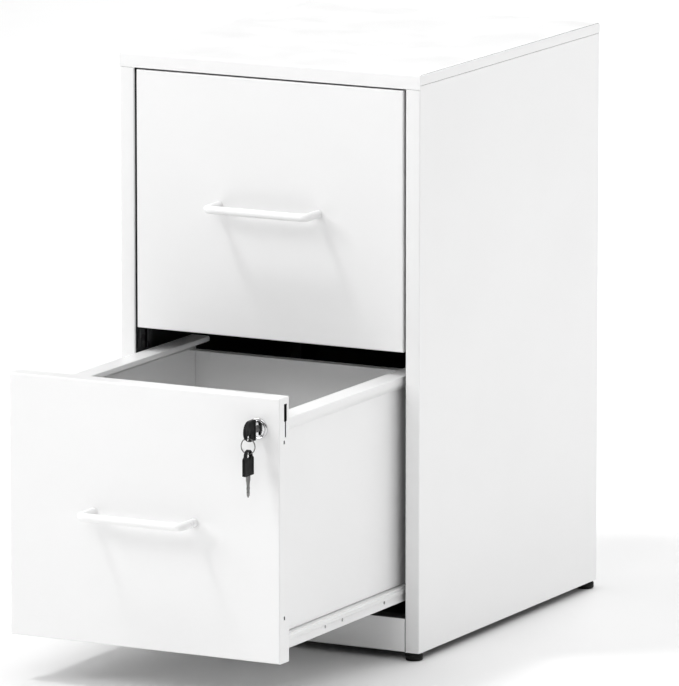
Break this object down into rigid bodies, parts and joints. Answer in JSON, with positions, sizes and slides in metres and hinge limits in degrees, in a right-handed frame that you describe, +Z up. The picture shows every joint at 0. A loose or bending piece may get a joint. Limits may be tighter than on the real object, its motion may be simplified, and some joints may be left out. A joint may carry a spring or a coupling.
{
  "type": "filing cabinet",
  "caption": "Upright white metal filing cabinet with bar handles, a keyed cam lock, roller slides and levelling glides, its lower drawer pulled out.",
  "frame": {"origin": "centre of the bounding box's base at rest, on the floor, midway between the open drawer's handle and the cabinet's back", "axes": "+Z up, -Y towards the front where the drawers open, +X to the viewer's right when facing the front"},
  "size_m": [0.362, 0.7429, 0.6325],
  "materials": {
    "white_paint": "satin",
    "handle_paint": "satin",
    "slide_paint": "satin",
    "zinc_steel": "satin",
    "key_steel": "polished",
    "chrome": "polished",
    "black_plastic": "satin",
    "black_rubber": "matte",
    "white_nylon": "matte"
  },
  "bodies": {
    "cabinet": {"top_panel": "white_paint", "left_side_panel": "white_paint", "right_side_panel": "white_paint", "back_panel": "white_paint", "plinth_rail": "white_paint", "top_front_rail": "white_paint", "base_pan": "white_paint", "front_left_upright": "zinc_steel", "front_right_upright": "zinc_steel", "rear_left_upright": "zinc_steel", "rear_right_upright": "zinc_steel", "upper_left_cabinet_slide": "slide_paint", "upper_right_cabinet_slide": "slide_paint", "lower_left_cabinet_slide": "slide_paint", "lower_right_cabinet_slide": "slide_paint"},
    "upper_drawer": {"upper_drawer_front": "white_paint", "upper_drawer_inner_front": "white_paint", "upper_drawer_left_side": "white_paint", "upper_drawer_right_side": "white_paint", "upper_drawer_bottom": "white_paint", "upper_drawer_rear_wall": "white_paint", "upper_handle": "handle_paint", "upper_handle_left_screw": "zinc_steel", "upper_handle_right_screw": "zinc_steel", "upper_left_drawer_slide": "slide_paint", "upper_right_drawer_slide": "slide_paint"},
    "upper_left_front_roller": {"upper_left_front_roller": "white_nylon"},
    "upper_left_rear_roller": {"upper_left_rear_roller": "white_nylon"},
    "upper_right_front_roller": {"upper_right_front_roller": "white_nylon"},
    "upper_right_rear_roller": {"upper_right_rear_roller": "white_nylon"},
    "lower_drawer": {"lower_drawer_front": "white_paint", "lower_drawer_inner_front": "white_paint", "lower_drawer_left_side": "white_paint", "lower_drawer_right_side": "white_paint", "lower_drawer_bottom": "white_paint", "lower_drawer_rear_wall": "white_paint", "lower_handle": "handle_paint", "lower_handle_left_screw": "zinc_steel", "lower_handle_right_screw": "zinc_steel", "lower_left_drawer_slide": "slide_paint", "lower_right_drawer_slide": "slide_paint", "lock_housing": "chrome"},
    "lower_left_front_roller": {"lower_left_front_roller": "white_nylon"},
    "lower_left_rear_roller": {"lower_left_rear_roller": "white_nylon"},
    "lower_right_front_roller": {"lower_right_front_roller": "white_nylon"},
    "lower_right_rear_roller": {"lower_right_rear_roller": "white_nylon"},
    "lock_core": {"lock_plug": "chrome", "lock_cam": "zinc_steel", "lock_cam_nut": "zinc_steel", "key_bow": "black_plastic", "key_blade": "key_steel"},
    "key_ring": {"key_ring": "key_steel"},
    "spare_key": {"spare_key_bow": "black_plastic", "spare_key_blade": "key_steel"},
    "front_left_glide": {"front_left_glide": "black_rubber"},
    "front_right_glide": {"front_right_glide": "black_rubber"},
    "rear_left_glide": {"rear_left_glide": "black_rubber"},
    "rear_right_glide": {"rear_right_glide": "black_rubber"}
  },
  "joints": [
    {"name": "upper_drawer_slide", "type": "slide", "parent": "cabinet", "child": "upper_drawer", "axis": [0, -1, 0], "range_m": [0, 0.297]},
    {"name": "upper_left_front_roller_spin", "type": "hinge", "parent": "cabinet", "child": "upper_left_front_roller", "pos_m": [-0.1542, -0.03065, 0.3546], "axis": [1, 0, 0], "continuous": true},
    {"name": "upper_left_rear_roller_spin", "type": "hinge", "parent": "upper_drawer", "child": "upper_left_rear_roller", "pos_m": [-0.1542, 0.32245, 0.3528], "axis": [1, 0, 0], "continuous": true},
    {"name": "upper_right_front_roller_spin", "type": "hinge", "parent": "cabinet", "child": "upper_right_front_roller", "pos_m": [0.1542, -0.03065, 0.3546], "axis": [1, 0, 0], "continuous": true},
    {"name": "upper_right_rear_roller_spin", "type": "hinge", "parent": "upper_drawer", "child": "upper_right_rear_roller", "pos_m": [0.1542, 0.32245, 0.3528], "axis": [1, 0, 0], "continuous": true},
    {"name": "lower_drawer_slide", "type": "slide", "parent": "cabinet", "child": "lower_drawer", "axis": [0, -1, 0], "range_m": [-0.2771, 0.02]},
    {"name": "lower_left_front_roller_spin", "type": "hinge", "parent": "cabinet", "child": "lower_left_front_roller", "pos_m": [-0.1542, -0.03065, 0.0708], "axis": [1, 0, 0], "continuous": true},
    {"name": "lower_left_rear_roller_spin", "type": "hinge", "parent": "lower_drawer", "child": "lower_left_rear_roller", "pos_m": [-0.1542, 0.04535, 0.069], "axis": [1, 0, 0], "continuous": true},
    {"name": "lower_right_front_roller_spin", "type": "hinge", "parent": "cabinet", "child": "lower_right_front_roller", "pos_m": [0.1542, -0.03065, 0.0708], "axis": [1, 0, 0], "continuous": true},
    {"name": "lower_right_rear_roller_spin", "type": "hinge", "parent": "lower_drawer", "child": "lower_right_rear_roller", "pos_m": [0.1542, 0.04535, 0.069], "axis": [1, 0, 0], "continuous": true},
    {"name": "lock_turn", "type": "hinge", "parent": "lower_drawer", "child": "lock_core", "pos_m": [0.136, -0.33665, 0.2977], "axis": [0, -1, 0], "range_deg": [-90, 0]},
    {"name": "key_ring_swing", "type": "hinge", "parent": "lock_core", "child": "key_ring", "pos_m": [0.136, -0.35895, 0.2907], "axis": [-1, 0, 0], "range_deg": [-5, 45]},
    {"name": "spare_key_swing", "type": "hinge", "parent": "key_ring", "child": "spare_key", "pos_m": [0.136, -0.35895, 0.2744], "axis": [-1, 0, 0], "range_deg": [-3, 30]},
    {"name": "front_left_glide_turn", "type": "hinge", "parent": "cabinet", "child": "front_left_glide", "pos_m": [-0.1714, -0.05205, 0], "axis": [0, 0, 1], "continuous": true},
    {"name": "front_right_glide_turn", "type": "hinge", "parent": "cabinet", "child": "front_right_glide", "pos_m": [0.1714, -0.05205, 0], "axis": [0, 0, 1], "continuous": true},
    {"name": "rear_left_glide_turn", "type": "hinge", "parent": "cabinet", "child": "rear_left_glide", "pos_m": [-0.1714, 0.36185, 0], "axis": [0, 0, 1], "continuous": true},
    {"name": "rear_right_glide_turn", "type": "hinge", "parent": "cabinet", "child": "rear_right_glide", "pos_m": [0.1714, 0.36185, 0], "axis": [0, 0, 1], "continuous": true}
  ],
  "couplings": [
    {"joint": "upper_left_front_roller_spin", "follows": "upper_drawer_slide", "rad_per_m": 156.25},
    {"joint": "upper_left_rear_roller_spin", "follows": "upper_drawer_slide", "rad_per_m": 200},
    {"joint": "upper_right_front_roller_spin", "follows": "upper_drawer_slide", "rad_per_m": 156.25},
    {"joint": "upper_right_rear_roller_spin", "follows": "upper_drawer_slide", "rad_per_m": 200},
    {"joint": "lower_left_front_roller_spin", "follows": "lower_drawer_slide", "rad_per_m": 156.25},
    {"joint": "lower_left_rear_roller_spin", "follows": "lower_drawer_slide", "rad_per_m": 200},
    {"joint": "lower_right_front_roller_spin", "follows": "lower_drawer_slide", "rad_per_m": 156.25},
    {"joint": "lower_right_rear_roller_spin", "follows": "lower_drawer_slide", "rad_per_m": 200}
  ]
}
